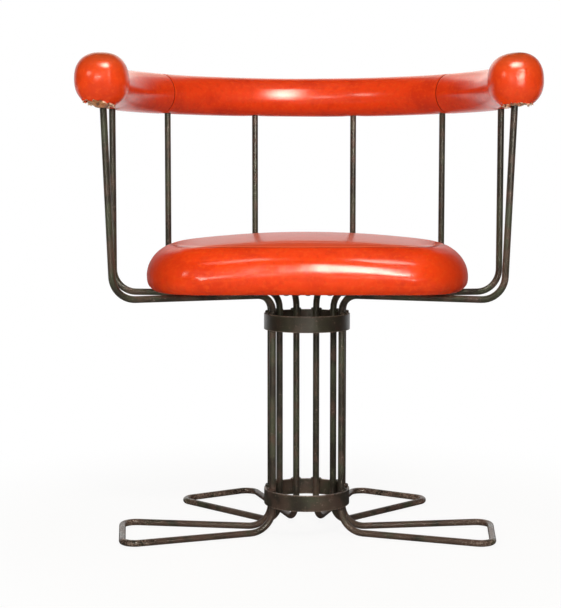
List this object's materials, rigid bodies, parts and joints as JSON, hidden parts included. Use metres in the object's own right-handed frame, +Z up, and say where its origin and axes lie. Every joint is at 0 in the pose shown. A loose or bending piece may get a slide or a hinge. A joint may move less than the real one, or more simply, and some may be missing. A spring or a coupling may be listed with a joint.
{
  "type": "iron tub armchair",
  "caption": "Tub armchair of bent iron rod: looped feet, a banded rod column, a padded leather seat and a padded C-shaped arm and back rail with ball ends.",
  "frame": {"origin": "on the floor, on the axis of the column", "axes": "+Z up, +Y to the back of the chair, +X to the right as seen from the front"},
  "size_m": [0.6722, 0.4998, 0.7137],
  "materials": {
    "iron": "old dark finish with green and rust-brown patina",
    "weld": "rough bead, painted over",
    "core_bar": "bare bar",
    "leather": "glossy orange-red, lightly mottled",
    "stuffing": "open foam",
    "plywood": "bare plywood",
    "clip_steel": "black",
    "screw_steel": "dull steel"
  },
  "bodies": {
    "root": {"front_left_rod": "iron", "rear_left_rod": "iron", "rear_right_rod": "iron", "front_right_rod": "iron", "upper_band": "iron", "lower_band": "iron", "upper_band_welds": "weld", "lower_band_welds": "weld", "core_welds": "weld", "rail_core": "core_bar", "rail_padding": "stuffing", "seat_padding": "stuffing", "rail_cover_back": "leather", "rail_cover_right_arm": "leather", "rail_cover_left_arm": "leather", "seat_cover": "leather", "seat_clip_left": "clip_steel", "seat_clip_rear_left": "clip_steel", "seat_clip_rear_right": "clip_steel", "seat_clip_right": "clip_steel", "seat_screws": "screw_steel", "seat_board": "plywood"}
  },
  "joints": []
}
